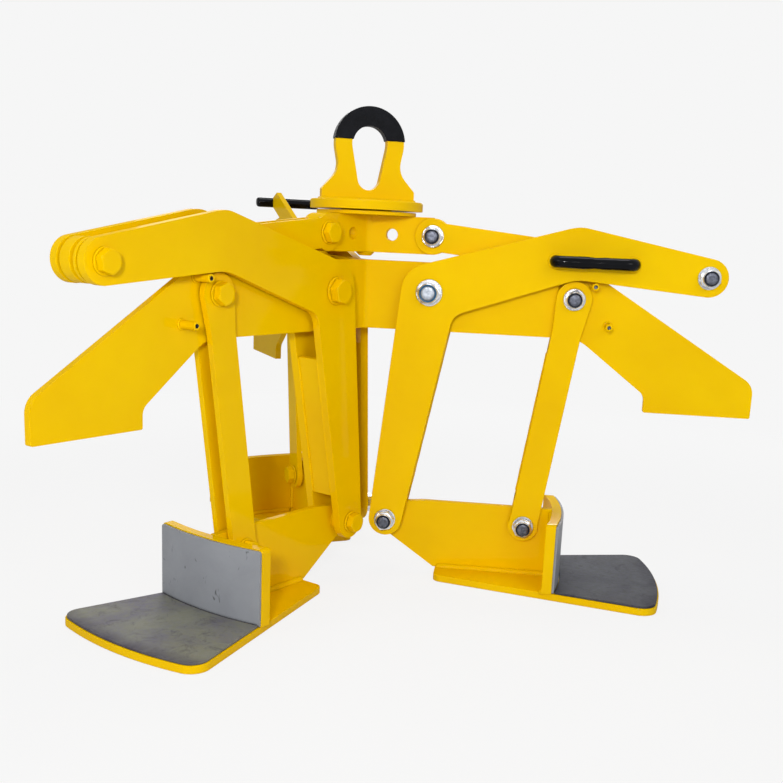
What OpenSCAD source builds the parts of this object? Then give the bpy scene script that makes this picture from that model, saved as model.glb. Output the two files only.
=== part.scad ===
// Three-arm internal gripper, metres of steel plate work on three equal arms.
// Units are millimetres. The vertical axis is Z, the floor is Z = 0.
// One arm is drawn in its own frame: X outwards, Y across the plates, Z up.
// The part is drawn closed, as it hangs with the shoes drawn in.

/* [Pivots] */
// distance of the inner frame pivot from the vertical axis
pivot_r = 116; // [100:1:140]
// distance between the two frame pivots of one arm
arm_span = 242; // [200:1:280]
// length of the two parallel legs between their pivots
leg_length = 402; // [340:1:460]
// lean of the legs towards the axis when closed, degrees
leg_lean = 8.4; // [2:0.1:14]
// height of the shoe pivots above the floor
shoe_pivot_h = 102; // [85:1:130]
// horizontal reach of the lever from the inner pivot to the link pivot
lever_reach = 455; // [400:1:520]
// height of the hub pivot above the inner frame pivot when closed
hub_rise = 92; // [86:1:110]
// hub travel from closed to open
hub_travel = 548; // [300:1:560]

/* [Plates] */
// thickness of the bent plates, two of them back to back make an arm
vee_t = 10; // [6:1:12]
// bend radius on the hollow side of the bent plates
vee_bend = 15; // [8:1:25]
// thickness of the wing plates and the shoe webs
web_t = 12; // [8:1:14]
// thickness of the lever plates
lever_t = 14; // [8:1:15]
// gap between the inner faces of the two lever plates
lever_gap = 42; // [40:1:50]
// thickness of the leg bars
leg_t = 10; // [8:0.5:12]
// thickness of the link bars
link_t = 6; // [5:0.5:8]
// free gap between plates that move past each other
side_gap = 0.4; // [0.3:0.05:0.8]

/* [Frame] */
// height of the frame arm
frame_h = 115; // [90:1:130]
// top of the frame arm above the inner pivot
frame_above = 49; // [40:1:56]
// distance from the axis to the weld between bent plates and wing
frame_end = 328; // [300:1:332]
// radius of the spacer rings on the inner frame pivots
frame_ring_r = 30; // [24:1:40]

/* [Wing] */
// inner end of the wing foot
wing_in = 488; // [460:1:520]
// outer end of the wing
wing_out = 666; // [620:1:720]
// drop of the wing foot below the frame pivots
wing_drop = 185; // [160:1:220]
// height of the upright inner edge of the wing foot
wing_step = 29; // [15:1:50]
// height of the outer edge before its slope begins
wing_edge = 57; // [40:1:80]
// slope of the upper edge of the wing, degrees
wing_slope = 31.6; // [25:0.1:38]
// slope of the lower edge of the wing, degrees
wing_under = 37.2; // [30:0.1:42]
// corner radius of the wing tip
wing_tip_r = 30; // [15:1:45]

/* [Stops] */
// diameter of the stop pins
stop_d = 12; // [10:1:14]
// length of the stop pins
stop_len = 76; // [68:1:84]
// closing stop, outwards from the outer frame pivot
stop_in_x = 32.5; // [30:0.5:36]
// closing stop, above the outer frame pivot
stop_in_z = 23; // [18:0.5:26]
// opening stop, outwards from the outer frame pivot
stop_out_x = 59.5; // [50:0.5:70]
// opening stop, below the outer frame pivot
stop_out_z = 42.5; // [36:0.5:50]

/* [Lever] */
// radius of the lever around the inner pivot
lever_hub_r = 48; // [40:1:52]
// radius of the lever around the shoe pivot
lever_foot_r = 29; // [24:1:34]
// radius of the lever around the link pivot
lever_tip_r = 31; // [26:1:36]
// hump centre, outwards from the inner pivot
hump_x = 245; // [220:1:270]
// hump centre, above the inner pivot
hump_z = 57.5; // [45:0.5:65]
// hump radius
hump_r = 60; // [40:1:80]
// knee of the lower edge, above the inner pivot
knee_z = 33; // [30:0.5:40]
// rise of the lower edge from the leg to the knee, degrees
under_slope = 19; // [16:0.1:22]
// fillet between lever arm and lever leg
crotch_r = 28; // [15:1:45]
// wall across the lever leg, thickness
lever_web_t = 10; // [6:1:14]

/* [Handles] */
// length over the ends of the lever handle
handle_len = 146; // [110:1:170]
// diameter of the coated handle bar
handle_d = 20; // [16:1:24]
// distance of the handle bar from the lever plate
handle_off = 32; // [26:1:45]
// handle centre, outwards from the inner pivot
handle_x = 269; // [240:1:300]
// handle centre, above the inner pivot
handle_z = 62; // [50:1:80]

/* [Outer leg] */
// width of the leg bars
leg_w = 49; // [40:1:56]
// radius of the upper leg eye
leg_head_r = 30; // [26:0.5:32]
// radius of the lower leg eye
leg_foot_r = 26; // [25:0.5:30]
// thickness of the wall between the leg bars
leg_web_t = 10; // [5:1:12]

/* [Link] */
// width of the link bars
link_w = 48; // [40:1:56]
// radius of the link eyes
link_eye_r = 30; // [29:0.5:34]
// width of the slot at the outer eye
link_slot_w = 24; // [23.5:0.5:25]

/* [Shoe] */
// thickness of the shoe base plate
base_t = 12; // [10:1:16]
// inner end of the base plate from the axis
base_in = 148; // [120:1:180]
// outer radius of the base plate about the axis
base_out = 541; // [500:1:580]
// width of the base plate at its inner end
base_w = 102; // [80:1:120]
// half flare angle of the base plate, degrees
base_flare = 15.2; // [8:0.1:20]
// corner radius at the outer end of the base plate
base_corner = 28; // [8:1:30]
// width of the back plate
back_w = 218; // [180:1:240]
// thickness of the back plate
back_t = 16; // [8:1:17]
// height of the back plate above the base plate
back_h = 120; // [90:1:150]
// radius of the curved face of the back lining
back_curve = 500; // [350:5:700]
// outer face of the back lining from the axis when closed
back_face = 369; // [340:1:400]
// thickness of the linings
pad_t = 4; // [2:0.5:8]
// radius of the shoe web around the lever pivot
web_end_r = 25; // [22:1:28]
// rise of the shoe web over its pivots
shoe_top = 31; // [28:1:40]

/* [Hub and lifting eye] */
// height of the hub plates below the hub pivot
hub_below = 30; // [28:1:34]
// height of the hub plates above the hub pivot
hub_above = 31; // [28:1:36]
// radius of the cap plate on the hub
cap_r = 84; // [70:1:85]
// thickness of the cap plate
cap_t = 6; // [4:1:10]
// radius of the small holes in the hub plates
hub_hole_r = 10; // [7:0.5:12]
// distance of the small holes from the axis
hub_hole_x = 46; // [40:1:60]
// radius of the turning disc
disc_r = 95; // [85:1:105]
// thickness of the turning disc
disc_t = 15; // [10:1:20]
// diameter of the king pin
king_d = 20; // [18:1:20]
// thickness of the lifting eye plate
eye_t = 20; // [14:1:25]
// outer radius of the lifting eye
eye_r = 58; // [50:1:66]
// radius of the upper part of the eye opening
eye_open_r = 30; // [24:1:34]
// radius of the lower part of the eye opening
eye_low_r = 19; // [14:1:22]
// width of the foot of the lifting eye
eye_foot_w = 158; // [130:1:170]
// height of the eye centre above the disc
eye_rise = 92; // [80:1:105]
// turn of the lifting eye about the vertical, degrees
eye_turn = 20; // [0:1:60]
// thickness of the soft coat on the eye
coat_t = 1.6; // [1:0.1:3]

/* [Lock lever] */
// pivot of the lock lever, outwards from the hub pivot
lock_x = 112; // [108:1:118]
// pivot of the lock lever, above the hub pivot
lock_z = 2; // [2:0.5:4]
// end of the lock lever, outwards from its pivot
lock_reach = 168; // [155:1:180]
// end of the lock lever, above its pivot
lock_up = 48.5; // [42:0.5:56]
// slope of the lock lever, degrees
lock_rise = 24.5; // [22:0.5:27]
// swing of the lock lever from free to engaged, degrees
lock_swing = 50; // [46:1:54]
// thickness of the lock lever
lock_t = 10; // [8:1:12]
// distance from the pivot of the lock lever to the catch pin
catch_r = 52; // [50:1:56]
// diameter of the catch pin
catch_d = 14; // [12:1:16]
// diameter of the bolt of the lock lever
lock_bolt = 12; // [10:1:12]
// length of the T bar
tee_len = 110; // [100:1:120]
// diameter of the T bar
tee_d = 19; // [16:1:20]
// middle of the T bar from the arm plane
tee_mid = 22; // [18:1:30]

/* [Fasteners] */
// bolt diameter of the inner frame pivot
bolt_a = 24; // [20:1:27]
// bolt diameter of all other pivots
bolt_b = 20; // [16:1:22]
// radial running clearance of every bolt in its bore
bolt_gap = 0.05; // [0.02:0.01:0.1]

/* [Hidden] */
$fn = 48;
e = 0.01;
angs = [0, 120, -120];

// pivots of one arm in its own frame
AZ = shoe_pivot_h + leg_length * cos(leg_lean);
A = [pivot_r, AZ];
B = [pivot_r + arm_span, AZ];
C = [pivot_r - leg_length * sin(leg_lean), shoe_pivot_h];
D = [C[0] + arm_span, shoe_pivot_h];
E = [pivot_r + lever_reach, AZ + hub_rise / 2];
F = [pivot_r, AZ + hub_rise];

// layers across the arm, each is the distance of a face from the arm plane
vee_y = vee_t;
half_web = web_t / 2;
link_y0 = vee_y + side_gap;
link_y1 = link_y0 + link_t;
leg_y0 = vee_y + side_gap;
leg_y1 = leg_y0 + leg_t;
lever_y0 = lever_gap / 2;
lever_y1 = lever_y0 + lever_t;
boss_y = vee_y;
ring_y = lever_y0 - side_gap;

// link geometry: arm length, rest angle and the slot that takes up the rest
arm_len = norm(E - A);
rest_ang = asin((E[1] - A[1]) / arm_len);
lever_rate = 180 / (PI * 838);
function link_miss(l) = hub_rise + l - 2 * arm_len * sin(rest_ang + lever_rate * l);
function miss_in_link(l) = let(b = rest_ang + lever_rate * l, m = -link_miss(l))
    [-m * sin(b), m * cos(b)];
slot_a = miss_in_link(0.48 * hub_travel);
slot_b = miss_in_link(hub_travel);

// plane geometry helpers
function unit(v) = v / norm(v);
function polar(r, a) = r * [cos(a), sin(a)];
// a straight edge runs this far inside the arc that it meets, so that both cross cleanly
bite = 0.03;
function inside(r) = r > bite ? r - bite : 0;
function tangent(c1, r1, c2, r2, s) =
    let(d = c2 - c1, b = atan2(d[1], d[0]), w = acos((r1 - r2) / norm(d)))
    [c1 + polar(inside(r1), b + s * w), c2 + polar(inside(r2), b + s * w)];
function corner(p, a, b, r) =
    let(u = unit(a - p), v = unit(b - p), h = acos(u * v) / 2)
    [p + u * r / tan(h), p + v * r / tan(h), p + unit(u + v) * r / sin(h)];
function meet(p, a, q, b) =
    let(u = polar(1, a), v = polar(1, b), k = u[0] * v[1] - u[1] * v[0],
        w = q - p, t = (w[0] * v[1] - w[1] * v[0]) / k)
    p + t * u;
function corners(pts, rs) = let(n = len(pts))
    [for (i = [0 : n - 1]) corner(pts[i], pts[(i + n - 1) % n], pts[(i + 1) % n], abs(rs[i]))];

// a plate with true round corners: positive radii outside, negative inside
module rounded(pts, rs, t) {
    n = len(pts);
    k = corners(pts, rs);
    difference() {
        union() {
            linear_extrude(height = t)
                polygon([for (i = [0 : n - 1]) each (rs[i] == 0 ? [pts[i]] : [k[i][0], k[i][1]])]);
            for (i = [0 : n - 1]) if (rs[i] > 0)
                translate([k[i][2][0], k[i][2][1], 0]) cylinder(r = rs[i], h = t);
        }
        for (i = [0 : n - 1]) if (rs[i] < 0)
            translate([k[i][2][0], k[i][2][1], -1]) cylinder(r = -rs[i], h = t + 2);
    }
}

// stand a drawing of the arm plane upright between two layers
module upright(y0) { translate([0, y0, 0]) rotate([90, 0, 0]) mirror([0, 0, 1]) children(); }
module flat(pts, y0, y1) { upright(y0) linear_extrude(height = y1 - y0) polygon(pts); }
module rod(p, r, y0, y1) { translate([p[0], y0, p[1]]) rotate([-90, 0, 0]) cylinder(r = r, h = y1 - y0); }
module hexagon(p, af, y0, y1) { translate([p[0], y0, p[1]]) rotate([-90, 30, 0]) cylinder(r = af / sqrt(3), h = y1 - y0, $fn = 6); }
module arm(i) { rotate([0, 0, angs[i]]) children(); }
module bore(p, d, y0 = -80, y1 = 80) { rod(p, d / 2 + bolt_gap, y0, y1); }

// bolt with painted head on the left side and lock nut on the right side
function head_h(d) = 0.625 * d;
function nut_h(d) = 0.95 * d;
function washer_t(d) = d > 22 ? 4 : 3;
function washer_r(d) = 0.925 * d;
function flats(d) = 1.5 * d;
module bolt(p, d, y) {
    w = washer_t(d);
    end = y + w + nut_h(d) + 0.1 * d;
    rod(p, d / 2, -end, y + w + e);
    hexagon(p, flats(d), y + w, y + w + head_h(d));
    for (y0 = [y, -y - w]) difference() {
        rod(p, washer_r(d), y0, y0 + w);
        rod(p, d / 2 - e, y0 - 1, y0 + w + 1);
    }
    difference() {
        union() {
            hexagon(p, flats(d), -y - w - 0.75 * nut_h(d), -y - w);
            rod(p, 0.66 * d, -y - w - nut_h(d), -y - w - 0.7 * nut_h(d));
        }
        rod(p, d / 2 - e, -end - 1, 0);
    }
}

// bent plates of the frame and the hub
vee_c = (vee_bend + vee_t) / sin(60);
vee_in = vee_c * cos(60);
module vee(z0, z1, r_end) {
    h = z1 - z0;
    q = vee_in + 3;
    k = [vee_c, 0] + vee_bend * polar(1, 150);
    translate([0, 0, z0]) difference() {
        union() {
            linear_extrude(height = h) polygon([polar(q, -60), polar(r_end, -60), polar(r_end, -60) + vee_t * polar(1, 30),
                [k[0], -k[1]], k, polar(r_end, 60) + vee_t * polar(1, -30), polar(r_end, 60), polar(q, 60)]);
            intersection() {
                translate([vee_c, 0, 0]) cylinder(r = vee_bend + vee_t, h = h);
                translate([-20, -30, 0]) cube([20 + (k[0] + q / 2) / 2, 60, h]);
            }
        }
        translate([vee_c, 0, -1]) cylinder(r = vee_bend + bite, h = h + 2);
    }
}
frame_z1 = AZ + frame_above;
frame_z0 = frame_z1 - frame_h;
module frame_vee(a) {
    color("gold") difference() {
        rotate([0, 0, a]) vee(frame_z0, frame_z1, frame_end);
        for (i = [0 : 2]) arm(i) bore(A, bolt_a);
    }
}
module frame_vee_front() { frame_vee(-60); }
module frame_vee_right() { frame_vee(60); }
module frame_vee_left() { frame_vee(180); }

module frame_rings() {
    color("gold") for (i = [0 : 2]) arm(i) for (s = [0, 1]) mirror([0, s, 0]) difference() {
        rod(A, frame_ring_r, vee_y, ring_y);
        bore(A, bolt_a);
    }
}

// wing plate with the outer frame pivot and the stops
wing_z0 = AZ - wing_drop;
wing_pts = [
    [frame_end, frame_z0],
    meet([frame_end, frame_z0], 0, [wing_in, wing_z0 + wing_step], 180 - wing_under),
    [wing_in, wing_z0 + wing_step],
    [wing_in, wing_z0],
    [wing_out, wing_z0],
    [wing_out, wing_z0 + wing_edge],
    meet([wing_out, wing_z0 + wing_edge], 180 - wing_slope, [0, frame_z1], 0),
    [frame_end, frame_z1]];
P1 = B + [stop_in_x, stop_in_z];
P2 = B + [stop_out_x, -stop_out_z];
module wing(i) {
    color("gold") arm(i) difference() {
        union() {
            upright(-half_web) rounded(wing_pts, [0, -60, -20, 3, 3, wing_tip_r, 12, 0], web_t);
            rod(B, 22, -boss_y, boss_y);
        }
        bore(B, bolt_b);
        for (p = [P1, P2]) rod(p, stop_d / 2 + bolt_gap, -40, 40);
    }
}
module wing_a() { wing(0); }
module wing_b() { wing(1); }
module wing_c() { wing(2); }

module stop_pins() {
    color("gold") for (i = [0 : 2]) arm(i) for (p = [P1, P2]) difference() {
        rod(p, stop_d / 2, -stop_len / 2, stop_len / 2);
        rod(p, stop_d / 4, -stop_len, stop_len);
    }
}

module frame_bolts() {
    color("gainsboro") for (i = [0 : 2]) arm(i) {
        bolt(A, bolt_a, lever_y1 + side_gap);
        bolt(B, bolt_b, leg_y1 + side_gap);
    }
}

// lever plates
hump = A + [hump_x, hump_z];
knee = A + [hump_x - 2.5, knee_z];
lever_leg_out = tangent(A, lever_hub_r, C, lever_foot_r, 1);
lever_leg_in = tangent(A, lever_hub_r, C, lever_foot_r, -1);
lever_top1 = tangent(A, lever_hub_r, hump, hump_r, 1);
lever_top2 = tangent(hump, hump_r, E, lever_tip_r, 1);
lever_low = tangent(knee, 0, E, lever_tip_r, -1);
leg_edge_ang = atan2(lever_leg_out[1][1] - lever_leg_out[0][1], lever_leg_out[1][0] - lever_leg_out[0][0]);
crotch = meet(knee, under_slope, lever_leg_out[0], leg_edge_ang);
module fillet(p, a, b, r, y0, y1) {
    k = corner(p, a, b, r);
    difference() {
        flat([p + 0.5 * unit(2 * p - a - b), k[0], k[1]], y0, y1);
        rod(k[2], r + bite, y0 - 1, y1 + 1);
    }
}
module lever_plate(y0, y1) {
    difference() {
        union() {
            rod(A, lever_hub_r, y0, y1);
            rod(C, lever_foot_r, y0, y1);
            rod(E, lever_tip_r, y0, y1);
            flat([lever_leg_out[0], lever_leg_out[1], lever_leg_in[1], lever_leg_in[0]], y0, y1);
            flat([A, lever_top1[0], lever_top1[1], lever_top2[0], lever_top2[1], E, lever_low[1], knee, crotch], y0, y1);
            intersection() {
                rod(hump, hump_r, y0, y1);
                flat([lever_top1[1] + [-6, -12], lever_top1[1] + [-6, 30], lever_top2[0] + [6, 30], lever_top2[0] + [6, -12]], y0, y1);
            }
            fillet(crotch, knee, lever_leg_out[1], crotch_r, y0, y1);
            fillet(knee, lever_low[1], crotch, 80, y0, y1);
        }
        bore(A, bolt_a);
        bore(C, bolt_b);
        bore(E, bolt_b);
    }
}
module lever_pos(i) { color("gold") arm(i) lever_plate(lever_y0, lever_y1); }
module lever_neg(i) { color("gold") arm(i) lever_plate(-lever_y1, -lever_y0); }
module lever_pos_a() { lever_pos(0); }
module lever_pos_b() {
    lever_pos(1);
    color("gold") arm(1) rod(catch_p, catch_d / 2, lever_y1 - 2, lock_y0 + lock_t + 3);
}
module lever_pos_c() { lever_pos(2); }
module lever_neg_a() { lever_neg(0); }
module lever_neg_b() { lever_neg(1); }
module lever_neg_c() { lever_neg(2); }

// wall between the two plates of the lever leg, close behind the outer edge
wall_set = 2;
leg_dir = unit(C - A);
leg_nrm = [-leg_dir[1], leg_dir[0]];
edge_nrm = polar(1, leg_edge_ang + 90);
edge_dir = polar(1, leg_edge_ang);
module lever_wall(i) {
    p = lever_leg_out[0] + 104 * edge_dir - wall_set * edge_nrm;
    q = lever_leg_out[1] - 56 * edge_dir - wall_set * edge_nrm;
    n = -lever_web_t * edge_nrm;
    color("gold") arm(i) flat([p, q, q + n, p + n], -lever_y0, lever_y0);
}
module lever_wall_a() { lever_wall(0); }
module lever_wall_b() { lever_wall(1); }
module lever_wall_c() { lever_wall(2); }

// handle of round bar with two bends, welded to the plate on the nut side
module handle(i) {
    r = handle_d / 2;
    p = A + [handle_x, handle_z];
    bend = 1.3 * r;
    x = handle_len / 2 - r - bend;
    y = lever_y1 + handle_off;
    color("black") arm(i) translate([p[0], 0, p[1]]) for (s = [0, 1]) mirror([s, 0, 0]) {
        translate([0, -y, 0]) rotate([0, 90, 0]) {
            cylinder(r = r - 1.2, h = 8);
            translate([0, 0, 7]) cylinder(r = r, h = x - 7 + e);
        }
        translate([x, -y + bend, 0]) rotate([0, 0, -90]) rotate_extrude(angle = 90) translate([bend, 0]) circle(r = r);
        rod([x + bend, 0], r, -y + bend - e, -lever_y1);
    }
}
module handle_a() { handle(0); }
module handle_b() { handle(1); }
module handle_c() { handle(2); }

// bolt of the lever tip with two spacer washers beside the link
module tip_bolt(i) {
    color("gainsboro") arm(i) {
        bolt(E, bolt_b, lever_y1);
        for (s = [0, 1]) mirror([0, s, 0]) difference() {
            rod(E, washer_r(bolt_b), link_y1 + side_gap, lever_y0);
            rod(E, bolt_b / 2 - e, 0, 60);
        }
    }
}
module tip_bolt_a() { tip_bolt(0); }
module tip_bolt_b() { tip_bolt(1); }
module tip_bolt_c() { tip_bolt(2); }

// outer leg, two bars joined by a wall along their inner edge
leg_n = [-leg_dir[1], leg_dir[0]];
neck = 58;
module leg_bar(y0, y1) {
    h = leg_w / 2;
    n1 = leg_n * h;
    difference() {
        union() {
            rod(B, leg_head_r, y0, y1);
            rod(D, leg_foot_r, y0, y1);
            flat([B + n1, D + n1, D - n1, B - n1], y0, y1);
            flat([B + leg_n * leg_head_r, B + leg_dir * neck + n1, B + leg_dir * neck - n1, B - leg_n * leg_head_r], y0, y1);
        }
        bore(B, bolt_b);
        bore(D, bolt_b);
    }
}
module outer_leg(i) {
    p = B + leg_dir * 95 - leg_n * (leg_w / 2 - 0.5);
    q = D - leg_dir * 52 - leg_n * (leg_w / 2 - 0.5);
    n = leg_n * leg_web_t;
    color("gold") arm(i) {
        leg_bar(leg_y0, leg_y1);
        leg_bar(-leg_y1, -leg_y0);
        flat([p, q, q + n, p + n], -leg_y0 - e, leg_y0 + e);
    }
}
module outer_leg_a() { outer_leg(0); }
module outer_leg_b() { outer_leg(1); }
module outer_leg_c() { outer_leg(2); }

// link between hub and lever tip, two bars with a block at the outer eye
link_dir = unit(E - F);
link_n = [-link_dir[1], link_dir[0]];
function in_link(v) = E + v[0] * link_dir + v[1] * link_n;
module link_slot() {
    r = link_slot_w / 2;
    rod(E, r, -60, 60);
    for (p = [in_link(slot_a), in_link(slot_b)]) {
        n = unit([E[1] - p[1], p[0] - E[0]]) * inside(r);
        rod(p, r, -60, 60);
        flat([E + n, p + n, p - n, E - n], -60, 60);
    }
}
module link(i) {
    n = link_n * link_w / 2;
    s = F + link_dir * 0.78 * arm_len;
    color("gold") arm(i) difference() {
        union() {
            for (m = [0, 1]) mirror([0, m, 0]) {
                rod(F, link_eye_r, link_y0, link_y1);
                rod(E, link_eye_r, link_y0, link_y1);
                flat([F + n, E + n, E - n, F - n], link_y0, link_y1);
            }
            rod(E, link_eye_r, -link_y0 - e, 4);
            rod(s, 14, -link_y0 - e, link_y0 + e);
            if (i == 1) rod(lock_p, lock_boss_r, link_y1 - e, lock_y0 - side_gap);
        }
        if (i == 1) bore(lock_p, lock_bolt, link_y0 + 2);
        bore(F, bolt_b);
        link_slot();
    }
}
module link_a() { link(0); }
module link_b() { link(1); }
module link_c() { link(2); }
module link_bolt(i) { color("gainsboro") arm(i) bolt(F, bolt_b, link_y1); }
module link_bolt_a() { link_bolt(0); }
module link_bolt_b() { link_bolt(1); }
module link_bolt_c() { link_bolt(2); }

// shoe web with its bosses
web_end = back_face - pad_t - back_t;
web_foot = [base_in - 4, base_t];
shoe_under = tangent(web_foot, 0, C, web_end_r, 1);
module shoe_web(i) {
    color("gold") arm(i) difference() {
        union() {
            rod(C, web_end_r, -half_web, half_web);
            flat([shoe_under[1], C, C + [0, inside(web_end_r)], [C[0] + 60, shoe_pivot_h + shoe_top],
                [web_end, shoe_pivot_h + shoe_top], [web_end, base_t], web_foot], -half_web, half_web);
            rod(C, 20, -ring_y, ring_y);
            rod(D, 20, -boss_y, boss_y);
        }
        bore(C, bolt_b);
        bore(D, bolt_b);
        translate([back_axis, 0, base_t - 1]) difference() {
            cylinder(r = back_curve + 60, h = 300, $fn = 96);
            translate([0, 0, -1]) cylinder(r = back_curve - pad_t - back_t, h = 302, $fn = 96);
        }
    }
}
module shoe_web_a() { shoe_web(0); }
module shoe_web_b() { shoe_web(1); }
module shoe_web_c() { shoe_web(2); }
module shoe_bolts(i) {
    color("gainsboro") arm(i) {
        bolt(C, bolt_b, lever_y1 + side_gap);
        bolt(D, bolt_b, leg_y1 + side_gap);
    }
}
module shoe_bolts_a() { shoe_bolts(0); }
module shoe_bolts_b() { shoe_bolts(1); }
module shoe_bolts_c() { shoe_bolts(2); }

// base plate, a sector with round outer corners
flare_at = [base_in, base_w / 2];
flare_dir = polar(1, base_flare);
function ray_circle(p, u, r) = p + u * (-(p * u) + sqrt((p * u) * (p * u) - p * p + r * r));
module sector(inset, x0, z0, z1) {
    c = base_corner - inset;
    n = [flare_dir[1], -flare_dir[0]];
    k = ray_circle(flare_at + n * (inset + c), flare_dir, base_out - inset - c);
    t1 = k - n * c;
    t2 = k + unit(k) * c;
    w0 = meet(flare_at + n * inset, base_flare, [x0, 0], 90)[1];
    h = z1 - z0;
    f = [1, -1];
    intersection() {
        translate([0, 0, z0]) linear_extrude(height = h) polygon([[x0, -w0], [t1[0], -t1[1]],
            [t2[0], -t2[1]] * 1.06, t2 * 1.06, t1, [x0, w0]]);
        translate([0, 0, z0]) cylinder(r = base_out - inset, h = h, $fn = 120);
    }
    for (s = f) translate([k[0], s * k[1], z0]) cylinder(r = c + bite, h = h);
}
module shoe_base(i) {
    r = 10;
    color("gold") arm(i) difference() {
        sector(0, base_in, 0, base_t);
        for (s = [-1, 1]) {
            k = corner([base_in, s * base_w / 2], [base_in, 0], [base_in, s * base_w / 2] + [flare_dir[0], s * flare_dir[1]], r);
            translate([0, 0, -1]) difference() {
                linear_extrude(height = base_t + 2) polygon([[base_in - 3, s * (base_w / 2 + 3)], [base_in - 3, k[0][1]], k[0], k[1], k[1] + [0, 3 * s]]);
                translate([k[2][0], k[2][1], -1]) cylinder(r = r + bite, h = base_t + 4);
            }
        }
    }
}
module shoe_base_a() { shoe_base(0); }
module shoe_base_b() { shoe_base(1); }
module shoe_base_c() { shoe_base(2); }

// curved back plate and its lining, rounded upper corners
back_axis = back_face - back_curve;
module curved(r0, r1, w, z0, z1, rc) {
    intersection() {
        translate([back_axis, 0, z0]) difference() {
            cylinder(r = r1, h = z1 - z0, $fn = 96);
            translate([0, 0, -1]) cylinder(r = r0, h = z1 - z0 + 2, $fn = 96);
        }
        translate([back_face - 80, 0, 0]) rotate([90, 0, 90])
            rounded([[-w / 2, z0 - 1], [w / 2, z0 - 1], [w / 2, z1], [-w / 2, z1]], [0, 0, rc, rc], 120);
    }
}
module shoe_back(i) {
    color("gold") arm(i) curved(back_curve - pad_t - back_t, back_curve - pad_t, back_w, base_t, base_t + back_h, 10);
}
module shoe_back_a() { shoe_back(0); }
module shoe_back_b() { shoe_back(1); }
module shoe_back_c() { shoe_back(2); }
module shoe_pads(i) {
    color("dimgray") arm(i) {
        curved(back_curve - pad_t, back_curve, back_w - 4, base_t + 1.5, base_t + back_h - 2, 9);
        difference() {
            sector(2.5, back_face - 40, base_t, base_t + pad_t);
            translate([back_axis, 0, 0]) cylinder(r = back_curve + 1, h = 60, $fn = 96);
        }
    }
}
module shoe_pads_a() { shoe_pads(0); }
module shoe_pads_b() { shoe_pads(1); }
module shoe_pads_c() { shoe_pads(2); }

// hub of three bent plates with eyes at the hub pivots
hub_z0 = F[1] - hub_below;
hub_z1 = F[1] + hub_above;
module hub_vee(a) {
    color("gold") difference() {
        rotate([0, 0, a]) vee(hub_z0, hub_z1, pivot_r + hub_below);
        for (i = [0 : 2]) arm(i) {
            bore(F, bolt_b);
            rod([hub_hole_x, F[1]], hub_hole_r, -40, 40);
            difference() {
                translate([pivot_r, -30, F[1] - 60]) cube([60, 60, 120]);
                rod(F, hub_below + bite, -40, 40);
            }
        }
        translate([0, 0, hub_z0 - 5]) cylinder(r = king_d / 2 + bolt_gap, h = 200);
    }
}
module hub_vee_front() { hub_vee(-60); }
module hub_vee_right() { hub_vee(60); }
module hub_vee_left() { hub_vee(180); }
module hub_cap() {
    color("gold") translate([0, 0, hub_z1]) difference() {
        cylinder(r = cap_r, h = cap_t, $fn = 72);
        translate([0, 0, -1]) cylinder(r = king_d / 2 + bolt_gap, h = cap_t + 2);
    }
}

// turning disc, king pin and lifting eye
disc_z0 = hub_z1 + cap_t + 2;
disc_z1 = disc_z0 + disc_t;
module eye_disc() {
    color("gold") difference() {
        union() {
            translate([0, 0, disc_z0]) cylinder(r = disc_r, h = disc_t - 1.5, $fn = 72);
            translate([0, 0, disc_z1 - 1.5]) cylinder(r1 = disc_r, r2 = disc_r - 1.5, h = 1.5, $fn = 72);
            translate([0, 0, disc_z0 - 2 + side_gap]) cylinder(r = 42, h = 2);
        }
        translate([0, 0, disc_z0 - 5]) cylinder(r = king_d / 2 + bolt_gap, h = 60);
    }
}
module king_pin() {
    color("gold") {
        translate([0, 0, hub_z0 - 2]) cylinder(r = king_d / 2, h = disc_z1 - hub_z0 + 2);
        translate([0, 0, hub_z0 - side_gap - 1]) mirror([0, 0, 1]) cylinder(r1 = king_d / 2 + 5.5, r2 = king_d / 2, h = 5);
        translate([0, 0, hub_z0 - side_gap - 1 - e]) cylinder(r = king_d / 2 + 5.5, h = 1);
    }
}
eye_z = disc_z1 + eye_rise;
eye_low_z = disc_z1 + 17 + eye_low_r;
module eye_upright() { rotate([0, 0, eye_turn]) children(); }
module eye_opening(g) {
    t = tangent([0, eye_z], eye_open_r, [0, eye_low_z], eye_low_r, 1);
    rod([0, eye_z], eye_open_r - g, -40, 40);
    rod([0, eye_low_z], eye_low_r, -40, 40);
    flat([t[0], t[1], [-t[1][0], t[1][1]], [-t[0][0], t[0][1]]], -40, 40);
}
module lift_eye() {
    h = eye_t / 2;
    w = eye_foot_w / 2;
    n = 48;
    color("gold") eye_upright() difference() {
        union() {
            rod([0, eye_z], eye_r, -h, h);
            upright(-h) rounded([[-w, disc_z1], [w, disc_z1], [w, disc_z1 + 17], [n, disc_z1 + 48], [n, eye_z - 25],
                [-n, eye_z - 25], [-n, disc_z1 + 48], [-w, disc_z1 + 17]],
                [0, 0, 5, -34, 0, 0, -34, 5], eye_t);
        }
        eye_opening(0);
    }
}
module eye_coat() {
    h = eye_t / 2;
    z = eye_z + 6;
    color("black") eye_upright() difference() {
        intersection() {
            rod([0, eye_z], eye_r + coat_t, -h - coat_t, h + coat_t);
            translate([-80, -40, z]) cube([160, 80, 80]);
        }
        difference() {
            rod([0, eye_z], eye_r, -h, h);
            rod([0, eye_z], eye_open_r, -h - 1, h + 1);
        }
        rod([0, eye_z], eye_open_r - coat_t, -40, 40);
    }
}

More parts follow.
